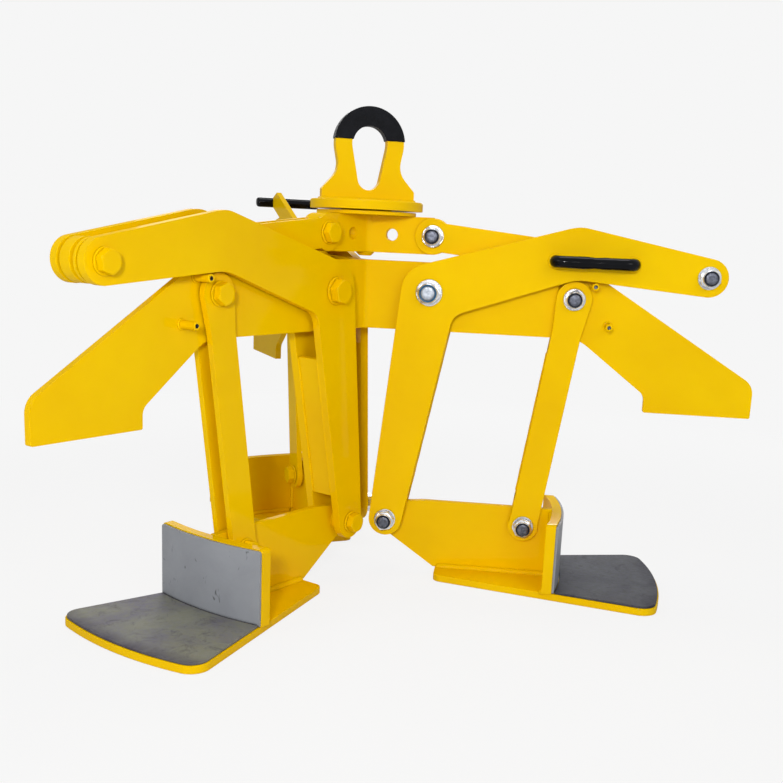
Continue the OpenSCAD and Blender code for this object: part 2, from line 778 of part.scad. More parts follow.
// lock lever beside the rear arm, on a boss of the link, drawn free of the catch pin of the lever
lock_p = F + [lock_x, lock_z];
lock_y0 = lever_y1 + side_gap;
lock_boss_r = lock_bolt / 2 + 3;
lock_end = lock_p + [lock_reach, lock_up];
catch_a = -80;
catch_p = lock_p + polar(catch_r, catch_a);
catch_gap = 0.6;
slot_h = catch_d / 2 + catch_gap;
hook_a = catch_a - lock_swing;
hook_wall = 11;
module lock_lever() {
    y1 = lock_y0 + lock_t;
    low = lock_end - [0, 9.5];
    body_r = catch_r - 14;
    far = 3 * catch_r;
    color("gold") arm(1) difference() {
        union() {
            rod(lock_p, 17, lock_y0, y1);
            flat([lock_end + [-23, 19.5], lock_end + [0, 10.5], low, low - polar((lock_reach - 40) / cos(lock_rise), lock_rise),
                lock_p + polar(body_r, -62), lock_p + polar(body_r, hook_a), lock_p - [12, 0], lock_p + [0, 3]], lock_y0, y1);
            intersection() {
                rod(lock_p, catch_r + slot_h + hook_wall, lock_y0, y1);
                flat([lock_p, lock_p + polar(far, hook_a - 17), lock_p + polar(far, hook_a + 12)], lock_y0, y1);
            }
        }
        intersection() {
            difference() {
                rod(lock_p, catch_r + inside(slot_h), 0, 80);
                rod(lock_p, catch_r - inside(slot_h), -1, 81);
            }
            flat([lock_p, lock_p + polar(far, hook_a), lock_p + polar(far, hook_a + 30)], 0, 80);
        }
        rod(lock_p + polar(catch_r, hook_a), slot_h, 0, 80);
        bore(lock_p, lock_bolt);
    }
}
tee_p = lock_end + [tee_d / 2 - 0.1, 0];
module lock_tee() {
    r = tee_d / 2;
    color("black") arm(1) {
        rod(tee_p, r, tee_mid - tee_len / 2 + 3, tee_mid + tee_len / 2 - 3);
        for (s = [0, 1]) translate([tee_p[0], tee_mid + (s * 2 - 1) * (tee_len / 2 - 3), tee_p[1]])
            rotate([s > 0 ? -90 : 90, 0, 0]) cylinder(r1 = r, r2 = r - 3, h = 3);
    }
}
module lock_bolt_set() {
    w = lock_y0 + lock_t + side_gap;
    color("gainsboro") arm(1) {
        rod(lock_p, lock_bolt / 2, link_y0 + 3, w + 2 + e);
        difference() {
            rod(lock_p, 12, w, w + 2);
            rod(lock_p, lock_bolt / 2 - e, w - 1, w + 3);
        }
        hexagon(lock_p, 1.5 * lock_bolt, w + 2, w + 9.5);
    }
}

frame_vee_front();
frame_vee_right();
frame_vee_left();
frame_rings();
wing_a();
wing_b();
wing_c();
stop_pins();
frame_bolts();
lever_pos_a();
lever_pos_b();
lever_pos_c();
lever_neg_a();
lever_neg_b();
lever_neg_c();
lever_wall_a();
lever_wall_b();
lever_wall_c();
handle_a();
handle_b();
handle_c();
tip_bolt_a();
tip_bolt_b();
tip_bolt_c();
outer_leg_a();
outer_leg_b();
outer_leg_c();
link_a();
link_b();
link_c();
link_bolt_a();
link_bolt_b();
link_bolt_c();
shoe_web_a();
shoe_web_b();
shoe_web_c();
shoe_bolts_a();
shoe_bolts_b();
shoe_bolts_c();
shoe_base_a();
shoe_base_b();
shoe_base_c();
shoe_back_a();
shoe_back_b();
shoe_back_c();
shoe_pads_a();
shoe_pads_b();
shoe_pads_c();
hub_vee_front();
hub_vee_right();
hub_vee_left();
hub_cap();
eye_disc();
king_pin();
lift_eye();
eye_coat();
lock_lever();
lock_tee();
lock_bolt_set();
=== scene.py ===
import bpy
import bmesh
import math
import random
from collections import namedtuple
from mathutils import Vector, Matrix


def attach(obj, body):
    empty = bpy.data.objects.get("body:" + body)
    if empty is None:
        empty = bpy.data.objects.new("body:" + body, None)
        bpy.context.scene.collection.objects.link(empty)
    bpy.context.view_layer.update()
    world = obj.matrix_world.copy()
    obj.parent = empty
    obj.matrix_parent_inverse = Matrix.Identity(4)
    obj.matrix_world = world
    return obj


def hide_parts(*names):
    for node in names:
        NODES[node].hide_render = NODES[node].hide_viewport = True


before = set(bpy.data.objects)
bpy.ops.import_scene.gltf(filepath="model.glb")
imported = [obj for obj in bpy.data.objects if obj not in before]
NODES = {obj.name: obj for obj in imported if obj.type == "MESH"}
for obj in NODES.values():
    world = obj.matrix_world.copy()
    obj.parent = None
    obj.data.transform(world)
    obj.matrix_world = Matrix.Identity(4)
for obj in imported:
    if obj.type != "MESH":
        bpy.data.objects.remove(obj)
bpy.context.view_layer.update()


# Arms: each is built in its own frame, x outwards, y across, z up, and turned about the axis of the hub

AZIMUTH = {"a": 0.0, "b": 120.0, "c": -120.0}
TURN = {arm: Matrix.Rotation(math.radians(angle), 4, "Z") for arm, angle in AZIMUTH.items()}
ARMS = tuple(AZIMUTH)


# Sizes of the CAD model that the dressed pieces repeat, in metres. A point in an arm's plane is a pair (x, z)

PIVOT_R = 0.116
ARM_SPAN = 0.242
LEG, LEAN = 0.402, math.radians(8.4)
LEVER_REACH = 0.455
HUB_RISE = 0.092
FOOT_Z = 0.102
PIVOT_Z = FOOT_Z + LEG * math.cos(LEAN)

INNER_PIVOT = (PIVOT_R, PIVOT_Z)
OUTER_PIVOT = (PIVOT_R + ARM_SPAN, PIVOT_Z)
INNER_FOOT = (PIVOT_R - LEG * math.sin(LEAN), FOOT_Z)
OUTER_FOOT = (INNER_FOOT[0] + ARM_SPAN, FOOT_Z)
TIP_PIVOT = (PIVOT_R + LEVER_REACH, PIVOT_Z + HUB_RISE / 2)
HUB_PIVOT = (PIVOT_R, PIVOT_Z + HUB_RISE)
STOPS = ((OUTER_PIVOT[0] + 0.0325, PIVOT_Z + 0.023), (OUTER_PIVOT[0] + 0.0595, PIVOT_Z - 0.0425))

FRAME_TOP = PIVOT_Z + 0.049
FRAME_LOW = FRAME_TOP - 0.115
FRAME_END = 0.328
KNEE_R, HEEL_R = 0.048, 0.029

# half distances across an arm, from its middle plane to a face
LEVER_IN, LEVER_OUT = 0.021, 0.035
LEG_OUT = 0.0204
LINK_OUT = 0.0164
WEB_HALF = 0.006

BASE_T = 0.012
BASE_IN, BASE_OUT = 0.148, 0.541
BASE_HALF, BASE_FLARE = 0.051, math.radians(15.2)
BASE_CORNER, BASE_IN_CORNER = 0.028, 0.016
LINING_T = 0.004
BACK_C, BACK_R, BACK_FACE = -0.131, 0.480, 0.500
BACK_IN = BACK_C + BACK_R
BACK_H, BACK_HALF, BACK_CORNER = 0.132, 0.109, 0.007

DISC_TOP = PIVOT_Z + 0.146
EYE_TURN = Matrix.Rotation(math.radians(20), 4, "Z")
EYE_Z = DISC_TOP + 0.092
EYE_R, EYE_HALF_T = 0.058, 0.010
EYE_NECK, NECK_R = (0.0505, DISC_TOP + 0.048), 0.034
EYE_SHOULDER, SHOULDER_R = (0.079, DISC_TOP + 0.017), 0.005
OPEN_R, OPEN_LOW_R, OPEN_LOW_Z = 0.030, 0.019, DISC_TOP + 0.036
LOCK = (HUB_PIVOT[0] + 0.112, HUB_PIVOT[1] + 0.002)
LOCK_LEVER_T = 0.010


# Materials

def srgb(code):
    out = []
    for k in (1, 3, 5):
        v = int(code[k:k + 2], 16) / 255
        out.append(v / 12.92 if v <= 0.04045 else ((v + 0.055) / 1.055) ** 2.4)
    return (*out, 1.0)


class Tree:
    """A short way to write a node tree. A colour is a socket or a code such as #FFFFFF."""

    def __init__(self, name):
        self.mat = bpy.data.materials.new(name)
        self.mat.use_nodes = True
        self.nodes = self.mat.node_tree.nodes
        self.links = self.mat.node_tree.links
        self.shader = self.nodes["Principled BSDF"]
        self.place = self.nodes.new("ShaderNodeTexCoord").outputs["Object"]

    def put(self, socket, value):
        if hasattr(value, "is_linked"):
            self.links.new(value, socket)
        else:
            socket.default_value = srgb(value) if isinstance(value, str) else value

    def set(self, **values):
        for key, value in values.items():
            self.put(self.shader.inputs[key.replace("_", " ")], value)

    def noise(self, scale, detail=3.0, rough=0.5, distort=0.0, vector=None):
        n = self.nodes.new("ShaderNodeTexNoise")
        self.put(n.inputs["Vector"], vector or self.place)
        values = {"Scale": scale, "Detail": detail, "Roughness": rough, "Distortion": distort}
        for key, value in values.items():
            n.inputs[key].default_value = value
        return n.outputs["Fac"]

    def stretched(self, scale):
        n = self.nodes.new("ShaderNodeMapping")
        self.put(n.inputs["Vector"], self.place)
        n.inputs["Scale"].default_value = scale
        return n.outputs["Vector"]

    def span(self, value, lo, hi, to_lo=0.0, to_hi=1.0, curve="LINEAR"):
        """Maps lo to to_lo and hi to to_hi."""
        n = self.nodes.new("ShaderNodeMapRange")
        n.interpolation_type = curve
        values = {"Value": value, "From Min": lo, "From Max": hi, "To Min": to_lo, "To Max": to_hi}
        for key, v in values.items():
            self.put(n.inputs[key], v)
        return n.outputs["Result"]

    def product(self, a, b):
        n = self.nodes.new("ShaderNodeMath")
        n.operation = "MULTIPLY"
        self.put(n.inputs[0], a)
        self.put(n.inputs[1], b)
        return n.outputs[0]

    def mix(self, share, a, b):
        n = self.nodes.new("ShaderNodeMix")
        n.data_type = "RGBA"
        self.put(n.inputs["Factor"], share)
        self.put(n.inputs[6], a)
        self.put(n.inputs[7], b)
        return n.outputs[2]

    def painted_corner_shade(self, colour, dark, reach, lo, hi, most):
        """Paints shade: darkens a colour where other surfaces lie within reach, as in corners and gaps."""
        n = self.nodes.new("ShaderNodeAmbientOcclusion")
        n.samples = 6
        n.inputs["Distance"].default_value = reach
        return self.mix(self.span(n.outputs["AO"], lo, hi, most, 0.0), colour, dark)

    def bump(self, height, strength, distance, normal=None):
        n = self.nodes.new("ShaderNodeBump")
        n.inputs["Strength"].default_value = strength
        n.inputs["Distance"].default_value = distance
        self.put(n.inputs["Height"], height)
        if normal is not None:
            self.put(n.inputs["Normal"], normal)
        return n.outputs["Normal"]

    def distance(self):
        """How far a point lies from the hub's axis, near the floor."""
        n = self.nodes.new("ShaderNodeVectorMath")
        n.operation = "LENGTH"
        self.put(n.inputs[0], self.place)
        return n.outputs["Value"]


def paint_material():
    t = Tree("yellow_paint")
    broad = t.noise(5.0, detail=4.0, rough=0.55)
    colour = t.mix(t.span(broad, 0.3, 0.7), "#E9B900", "#F1C600")
    specks = t.span(t.noise(240.0, rough=0.7), 0.68, 0.78)
    colour = t.mix(t.product(specks, 0.12), colour, "#B88400")
    # Painted shade: dark ochre in corners and where parts meet, such as under heads and washers
    colour = t.painted_corner_shade(colour, "#8F6A00", reach=0.006, lo=0.3, hi=0.8, most=0.35)
    rough = t.span(t.noise(30.0, detail=4.0, rough=0.6), 0.3, 0.7, 0.18, 0.28)
    waves = t.bump(t.noise(16.0, detail=2.0), strength=0.2, distance=0.0010)
    grain = t.bump(t.noise(330.0, detail=2.0), strength=0.14, distance=0.0004, normal=waves)
    t.set(Base_Color=colour, Roughness=rough, Normal=grain)
    t.set(Specular_IOR_Level=0.0, Coat_Weight=0.13, Coat_Roughness=0.08)
    return t.mat


def zinc_material():
    t = Tree("zinc")
    patch = t.noise(70.0, rough=0.6)
    colour = t.mix(t.span(patch, 0.35, 0.65), "#ECEDF0", "#BABEC5")
    # Painted shade: dark grey in the corners of nuts and washers
    colour = t.painted_corner_shade(colour, "#34343A", reach=0.004, lo=0.2, hi=0.9, most=0.7)
    grain = t.bump(t.noise(900.0, rough=0.6), strength=0.2, distance=0.0002)
    t.set(Base_Color=colour, Metallic=0.9, Roughness=t.span(patch, 0.3, 0.7, 0.18, 0.32), Normal=grain)
    return t.mat


def thread_material(name, dark, pale):
    """The dull end of a bolt inside its nut, in grey steel; the darker copy carries painted shade."""
    t = Tree(name)
    patch = t.noise(220.0, detail=4.0, rough=0.6)
    colour = t.mix(t.span(patch, 0.35, 0.7), dark, pale)
    grain = t.bump(patch, strength=0.3, distance=0.0003)
    t.set(Base_Color=colour, Metallic=0.8, Roughness=0.42, Normal=grain)
    return t.mat


def nylon_material(name, pale, dark):
    t = Tree(name)
    colour = t.mix(t.span(t.noise(300.0), 0.3, 0.7), pale, dark)
    t.set(Base_Color=colour, Roughness=0.38, Normal=t.bump(t.noise(700.0), strength=0.2, distance=0.0002))
    return t.mat


def dip_material():
    t = Tree("black_dip")
    soft = t.noise(45.0, detail=2.0)
    colour = t.mix(t.span(soft, 0.3, 0.7), "#040509", "#090A0F")
    rough = t.span(t.noise(160.0), 0.35, 0.7, 0.08, 0.16)
    t.set(Base_Color=colour, Roughness=rough, Normal=t.bump(soft, strength=0.4, distance=0.002))
    t.set(Specular_IOR_Level=0.12)
    return t.mat


def coat_material():
    t = Tree("black_coat")
    grain = t.noise(420.0, detail=4.0, rough=0.65)
    colour = t.mix(t.span(t.noise(60.0, detail=4.0), 0.35, 0.7), "#08090D", "#121318")
    rough = t.span(grain, 0.3, 0.7, 0.42, 0.62)
    t.set(Base_Color=colour, Roughness=rough, Normal=t.bump(grain, strength=0.5, distance=0.0008))
    t.set(Specular_IOR_Level=0.08)
    return t.mat


def upright_lining_material():
    """Smooth grey rubber with a few dark marks."""
    t = Tree("lining_upright")
    cloud = t.noise(9.0, detail=6.0, rough=0.62, distort=0.6)
    fine = t.noise(120.0, detail=5.0, rough=0.7)
    colour = t.mix(t.span(cloud, 0.3, 0.7), "#93969C", "#86898F")
    streaks = t.noise(1.0, rough=0.6, distort=1.2, vector=t.stretched((60.0, 60.0, 22.0)))
    colour = t.mix(t.product(t.span(streaks, 0.66, 0.71), 0.85), colour, "#4A4B4E")
    # Painted shade: near black in the corner where this lining meets the level lining
    colour = t.painted_corner_shade(colour, "#28262A", reach=0.006, lo=0.45, hi=0.75, most=1.0)
    rough = t.span(fine, 0.3, 0.7, 0.42, 0.6)
    t.set(Base_Color=colour, Roughness=rough, Normal=t.bump(fine, strength=0.3, distance=0.0005))
    t.set(Specular_IOR_Level=0.25)
    return t.mat


def level_lining_material(name, pale, dull, stain, rubbed):
    """Scuffed rubber under the load's edge: clouds of two greys, worn spots and dark scuffs."""
    t = Tree(name)
    cloud = t.noise(9.0, detail=6.0, rough=0.62, distort=0.6)
    fine = t.noise(120.0, detail=5.0, rough=0.7)
    colour = t.mix(t.span(cloud, 0.40, 0.62), pale, dull)
    colour = t.mix(t.span(fine, 0.45, 0.7, 0.0, 0.6), colour, rubbed)
    scuffs = t.span(t.noise(34.0, detail=8.0, rough=0.8, distort=1.0), 0.52, 0.68, 0.0, 0.7)
    colour = t.mix(scuffs, colour, stain)
    border = t.span(t.distance(), BASE_OUT - 0.030, BASE_OUT - 0.006, 0.0, 0.9)
    colour = t.mix(t.product(border, t.span(cloud, 0.3, 0.6, 0.3, 1.0)), colour, stain)
    # Painted shade: near black in the corner along the upright lining
    colour = t.painted_corner_shade(colour, "#201E22", reach=0.006, lo=0.45, hi=0.75, most=1.0)
    rough = t.span(fine, 0.3, 0.7, 0.5, 0.7)
    t.set(Base_Color=colour, Roughness=rough, Normal=t.bump(fine, strength=0.45, distance=0.0008))
    t.set(Specular_IOR_Level=0.15)
    return t.mat


PAINT = paint_material()
ZINC = zinc_material()
NYLON = nylon_material("nylon_insert", "#1A2030", "#10141F")
NYLON_BLUE = nylon_material("nylon_insert_blue", "#2F6E98", "#1F4C70")
DIP = dip_material()
COAT = coat_material()
# Dark copy: grey steel darkened as painted shade, for the M20 bolt ends and the stop pins' holes
THREAD = thread_material("thread_end", "#3E4049", "#6C707C")
THREAD_PALE = thread_material("thread_end_pale", "#7C828C", "#A4AAB2")
UPRIGHT = upright_lining_material()
LEVEL = level_lining_material("lining_level", "#7F8075", "#6C6A75", "#45414C", "#7F8069")
LEVEL_DARK = level_lining_material("lining_level_dark", "#4E5058", "#3F3F4A", "#2A2832", "#54564E")


# Mesh building

class Piece:
    """A mesh built in an arm's own frame and then turned into place."""

    def __init__(self, name, body, materials, matrix):
        self.name, self.body, self.materials, self.matrix = name, body, materials, matrix
        self.bm = bmesh.new()

    def rings(self, rings, material, cap=(True, True)):
        """Joins closed rings of points with walls, and closes the first and the last where cap says so."""
        rows = [[self.bm.verts.new(self.matrix @ Vector(p)) for p in ring] for ring in rings]
        n = len(rows[0])
        faces = []
        for r0, r1 in zip(rows, rows[1:]):
            for k in range(n):
                j = (k + 1) % n
                faces.append(self.bm.faces.new((r0[k], r0[j], r1[j], r1[k])))
        if cap[0]:
            faces.append(self.bm.faces.new(list(reversed(rows[0]))))
        if cap[1]:
            faces.append(self.bm.faces.new(rows[-1]))
        for f in faces:
            f.material_index = material
            f.smooth = True
        return rows

    def turn(self, profile, material, at, side, n, cap=(False, False)):
        """Turns a profile of (radius, distance) about the cross axis at a point.

        Both may be functions of the angle. side is 1 or -1, the way that distances run.
        """
        rings = []
        for radius, dist in profile:
            ring = []
            for k in range(n):
                a = 2 * math.pi * k / n
                r = radius(a) if callable(radius) else radius
                d = dist(a) if callable(dist) else dist
                ring.append((at[0] + r * math.cos(a), side * d, at[1] + r * math.sin(a) * side))
            rings.append(ring)
        self.rings(rings, material, cap)

    def tube(self, points, radius, material, n, closed=False):
        """Sweeps a circle along points; radius is a function of the place along, 0 to 1."""
        pts = [Vector(p) for p in points]
        count = len(pts)
        rings = []
        normal = None
        for i, p in enumerate(pts):
            q0 = pts[i - 1] if (i > 0 or closed) else p
            q1 = pts[(i + 1) % count] if (i < count - 1 or closed) else p
            t = (q1 - q0).normalized()
            if normal is None:
                normal = t.orthogonal().normalized()
            normal = (normal - t * normal.dot(t)).normalized()
            side = t.cross(normal)
            r = radius(i / (count - 1))
            angles = [2 * math.pi * k / n for k in range(n)]
            rings.append([p + r * (math.cos(a) * normal + math.sin(a) * side) for a in angles])
        if closed:
            rings.append(rings[0])
        self.rings(rings, material, (not closed, not closed))

    def done(self, replaced=(), sharp=38):
        """Makes the object; edges over sharp degrees stay sharp."""
        bmesh.ops.remove_doubles(self.bm, verts=self.bm.verts, dist=1e-6)
        bmesh.ops.recalc_face_normals(self.bm, faces=self.bm.faces)
        mesh = bpy.data.meshes.new(self.name)
        self.bm.to_mesh(mesh)
        self.bm.free()
        obj = bpy.data.objects.new(self.name, mesh)
        bpy.context.scene.collection.objects.link(obj)
        for m in self.materials:
            mesh.materials.append(m)
        mesh.set_sharp_from_angle(angle=math.radians(sharp))
        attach(obj, self.body)
        if replaced:
            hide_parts(*replaced)
        return obj


def arc(centre, r, a0, a1, n):
    """Points of an arc from the angle a0 to a1, with both ends."""
    angles = [a0 + (a1 - a0) * k / n for k in range(n + 1)]
    return [(centre[0] + r * math.cos(a), centre[1] + r * math.sin(a)) for a in angles]


def soften(o, edge, segments=2):
    bevel = o.modifiers.new("edge", "BEVEL")
    bevel.width = edge
    bevel.segments = segments
    bevel.limit_method = "ANGLE"
    bevel.angle_limit = math.radians(40)
    bevel.miter_outer = "MITER_ARC"
    normal = o.modifiers.new("normal", "WEIGHTED_NORMAL")
    normal.weight = 80


# Bolts: head and its washer carry paint, the lock nut and its washer are bare

Thread = namedtuple("Thread", "d washer pitch ring end")
M20 = Thread(d=0.020, washer=0.003, pitch=0.0025, ring=2, end=3)
M24 = Thread(d=0.024, washer=0.004, pitch=0.003, ring=4, end=5)
BOLT_MATS = [PAINT, ZINC, NYLON, THREAD, NYLON_BLUE, THREAD_PALE]
PAINTED, BARE = 0, 1
SIDE_GAP = 0.0004
# shares of the thread's diameter
FLATS, WASHER_R, BORE_R, HEAD_H, NUT_H, COLLAR_R = 1.5, 0.925, 0.3, 0.625, 0.95, 0.66
# shares of the width over the flats: the round end, the foot and the top's flat, and what a corner keeps
END_R, FOOT_R, TOP_R, CORNER = 0.475, 0.46, 0.40, 0.985
CHAMFER = math.tan(math.radians(30))


def hexagon(flats, turn=0.0):
    """The radius of a hexagon over the angle, corners softened a little."""
    def radius(a):
        u = (a + turn + math.pi / 6) % (math.pi / 3) - math.pi / 6
        return min(flats / 2 / math.cos(u), flats / math.sqrt(3) * CORNER)
    return radius


def chamfered(flats, end, side, turn=0.0):
    """Where a hexagon's chamfered end lies over the angle: at end, and towards side for its corners."""
    radius = hexagon(flats, turn)
    return lambda a: end + side * max(0.0, radius(a) - flats * END_R) * CHAMFER


def bolt_washer(piece, at, thread, y, side, material):
    r, bore, top = WASHER_R * thread.d, BORE_R * thread.d, y + thread.washer
    profile = [(bore, y), (r - 0.0012, y), (r, y + 0.0008), (r, top - 0.0009), (r - 0.0011, top), (bore, top)]
    piece.turn(profile, material, at, side, n=48)


def bolt_head(piece, at, thread, z, turn):
    flats, top, foot = FLATS * thread.d, z + HEAD_H * thread.d, 0.0008
    ridge = hexagon(flats, turn)
    profile = [(flats * FOOT_R, z), (flats * FOOT_R, z + foot), (ridge, z + foot + 0.0001),
               (ridge, chamfered(flats, top, -1, turn)), (flats * END_R, top), (flats * TOP_R, top - 0.0001)]
    piece.turn(profile, PAINTED, at, 1, n=72, cap=(False, True))


def lock_nut(piece, at, thread, z, turn):
    """A hexagonal nut with a round collar that holds a nylon ring."""
    d, flats, h = thread.d, FLATS * thread.d, NUT_H * thread.d
    ridge, collar, shoulder = hexagon(flats, turn), COLLAR_R * d, z + 0.72 * h
    body = [(0.5 * d, z), (flats * END_R, z), (ridge, chamfered(flats, z, 1, turn)),
            (ridge, chamfered(flats, shoulder, -1, turn)), (flats * END_R, shoulder),
            (collar + 0.0006, z + 0.73 * h), (collar, z + 0.76 * h), (collar, z + 0.93 * h),
            (collar - 0.0004, z + 0.98 * h), (collar - 0.0009, z + h), (collar - 0.0011, z + 0.985 * h)]
    piece.turn(body, BARE, at, -1, n=72)
    ring = [(collar - 0.0011, z + 0.9 * h), (collar - 0.0012, z + 0.965 * h),
            (0.5 * d + 0.0003, z + 0.94 * h), (0.5 * d - 0.0005, z + 0.9 * h)]
    piece.turn(ring, thread.ring, at, -1, n=48)


def thread_end(piece, at, thread, z):
    """The end of the thread, from inside the nut's ring to its chamfered tip."""
    r, depth, h = thread.d / 2, 0.0009, NUT_H * thread.d
    start, end = z + 0.85 * h, z + h + 0.1 * thread.d
    steps = int((end - 0.0012 - start) / (thread.pitch / 2))
    profile = [(r - (depth if k % 2 else 0.0), start + k * thread.pitch / 2) for k in range(steps + 1)]
    profile += [(r - depth, end - 0.0006), (r - 0.0022, end), (r - 0.0060, end - 0.0002)]
    piece.turn(profile, thread.end, at, -1, n=40, cap=(False, True))


def bolt(piece, at, thread, y, turn):
    """A bolt through layers that reach y to both sides; turn sets how its hexagons stand."""
    bolt_washer(piece, at, thread, y, 1, PAINTED)
    bolt_washer(piece, at, thread, y, -1, BARE)
    z = y + thread.washer
    bolt_head(piece, at, thread, z, turn)
    lock_nut(piece, at, thread, z, turn)
    thread_end(piece, at, thread, z)


def spacers(piece, at, r0, r1, y0, y1):
    """A painted ring on each side of the middle."""
    soft = 0.0008
    profile = [(r0, y0), (r1 - soft, y0), (r1, y0 + soft), (r1, y1 - soft), (r1 - soft, y1), (r0, y1)]
    for side in (1, -1):
        piece.turn(profile, PAINTED, at, side, n=48)


for arm in ARMS:
    p = Piece("dressed_frame_bolts_" + arm, "frame", BOLT_MATS, TURN[arm])
    bolt(p, INNER_PIVOT, M24, LEVER_OUT + SIDE_GAP, turn=0.3)
    bolt(p, OUTER_PIVOT, M20, LEG_OUT + SIDE_GAP, turn=0.9)
    p.done(("frame_bolts",))
    p = Piece("dressed_tip_bolt_" + arm, "lever_" + arm, BOLT_MATS, TURN[arm])
    bolt(p, TIP_PIVOT, M20, LEVER_OUT, turn=0.15)
    spacers(p, TIP_PIVOT, M20.d / 2 - 0.0001, 0.0185, LINK_OUT + SIDE_GAP, LEVER_IN)
    p.turn([(M20.d / 2, -LEVER_IN), (M20.d / 2, LEVER_IN)], BARE, TIP_PIVOT, 1, n=32)
    p.done(("tip_bolt_" + arm,))
    p = Piece("dressed_link_bolt_" + arm, "bar_" + arm, BOLT_MATS, TURN[arm])
    bolt(p, HUB_PIVOT, M20, LINK_OUT, turn=0.55)
    p.done(("link_bolt_" + arm,))
    p = Piece("dressed_shoe_bolts_" + arm, "shoe_" + arm, BOLT_MATS, TURN[arm])
    bolt(p, INNER_FOOT, M20, LEVER_OUT + SIDE_GAP, turn=0.7)
    bolt(p, OUTER_FOOT, M20, LEG_OUT + SIDE_GAP, turn=0.25)
    p.done(("shoe_bolts_" + arm,))


# Stop pins: turned bars with a centre hole, painted with the wing; the hole's inside is dark as painted shade

PIN_R, PIN_HALF = 0.006, 0.038
PIN_HOLE_R, PIN_HOLE_END = 0.0030, 0.028
pin = [(PIN_R, 0.0), (PIN_R, PIN_HALF - 0.0009), (PIN_R - 0.0009, PIN_HALF), (PIN_HOLE_R + 0.0005, PIN_HALF),
       (PIN_HOLE_R + 0.0002, PIN_HALF - 0.0004)]
pin_hole = [pin[-1], (PIN_HOLE_R, PIN_HALF - 0.001), (PIN_HOLE_R, PIN_HOLE_END)]
for arm in ARMS:
    p = Piece("dressed_stop_pins_" + arm, "frame", [PAINT, THREAD], TURN[arm])
    for at in STOPS:
        for side in (1, -1):
            p.turn(pin, 0, at, side, n=32)
            # The hole's wall and bottom take the dark thread colour: painted shade
            p.turn(pin_hole, 1, at, side, n=32, cap=(False, True))
    p.done(("stop_pins",))


# Handles: bent round bar, dipped, a little thinner in the middle

HANDLE = (INNER_PIVOT[0] + 0.269, INNER_PIVOT[1] + 0.062)
HANDLE_HALF, HANDLE_BEND, HANDLE_OFF = 0.050, 0.013, 0.032
HANDLE_REACH = HANDLE_HALF + HANDLE_BEND
DIP_R = 0.0099
DIP_SHARP = 60


def dip_radius(u):
    waist = 0.0011 * math.exp(-((u - 0.5) / 0.035) ** 2)
    return DIP_R - waist + 0.00025 * math.sin(17 * u)


def handle_path():
    """The bar's middle line: distance along the handle and place across the arm."""
    y = LEVER_OUT + HANDLE_OFF
    leg = [-LEVER_OUT + 0.0005, -LEVER_OUT - 0.004, -y + HANDLE_BEND + 0.003]
    bends = [arc((s * HANDLE_HALF, -y + HANDLE_BEND), HANDLE_BEND, a0 * math.pi, (a0 + 0.5) * math.pi, 8)
             for s, a0 in ((-1, 1.0), (1, 1.5))]
    grip = [(-HANDLE_HALF + 2 * HANDLE_HALF * k / 16, -y) for k in range(1, 16)]
    first = [(-HANDLE_REACH, v) for v in leg]
    last = [(HANDLE_REACH, v) for v in reversed(leg)]
    return first + bends[0] + grip + bends[1] + last


for arm in ARMS:
    p = Piece("dressed_handle_" + arm, "lever_" + arm, [DIP], TURN[arm])
    p.tube([(HANDLE[0] + x, y, HANDLE[1]) for x, y in handle_path()], dip_radius, 0, n=28)
    p.done(("handle_" + arm,), sharp=DIP_SHARP)


# Lock lever's grip bar, dipped too, and the bolt that it turns on

TEE = (LOCK[0] + 0.1774, LOCK[1] + 0.0485)
TEE_MID = 0.012
TEE_HALF_PROFILE = [(0.0095, 0.0), (0.0094, 0.013), (0.0095, 0.027), (0.0094, 0.042), (0.0095, 0.0585),
                    (0.0093, 0.0605), (0.0086, 0.0625), (0.0070, 0.0641), (0.0045, 0.0648), (0.0001, 0.065)]
p = Piece("dressed_lock_tee", "lock", [DIP], TURN["b"])
for side in (1, -1):
    p.turn([(r, d + side * TEE_MID) for r, d in TEE_HALF_PROFILE], 0, TEE, side, n=32, cap=(False, True))
p.done(("lock_tee",), sharp=DIP_SHARP)

LOCK_FLATS, LOCK_SHANK, LOCK_WASHER_R, LOCK_WASHER_T = 0.018, 0.006, 0.012, 0.002
LOCK_BOLT_IN = 0.0134
low = LEVER_OUT + SIDE_GAP + LOCK_LEVER_T + SIDE_GAP
mid = low + LOCK_WASHER_T
top = mid + 0.0075
ridge = hexagon(LOCK_FLATS)
p = Piece("dressed_lock_bolt", "lock", BOLT_MATS, TURN["b"])
p.turn([(LOCK_SHANK, low), (LOCK_WASHER_R - 0.0008, low), (LOCK_WASHER_R, low + 0.0006), (LOCK_WASHER_R, mid),
        (LOCK_SHANK, mid)], BARE, LOCK, 1, n=36)
p.turn([(LOCK_SHANK, mid), (0.0084, mid), (ridge, mid + 0.0006), (ridge, chamfered(LOCK_FLATS, top, -1)),
        (0.0083, top), (0.007, top - 0.0001)], PAINTED, LOCK, 1, n=48, cap=(False, True))
p.turn([(LOCK_SHANK, LOCK_BOLT_IN), (LOCK_SHANK, mid + 0.001)], BARE, LOCK, 1, n=24, cap=(True, False))
p.done(("lock_bolt_set",))


# Weld beads under the paint

BEAD_STEP = 0.0011
RIPPLE, DRIFT = 0.0034, 0.041
BEAD_END, BEAD_GROWTH = 0.35, 14 / 0.06
BEAD_SHARP = 80


def line(p, q):
    p, q = Vector(p), Vector(q)
    n = max(2, int((q - p).length / BEAD_STEP))
    return [p.lerp(q, k / n) for k in range(n + 1)]


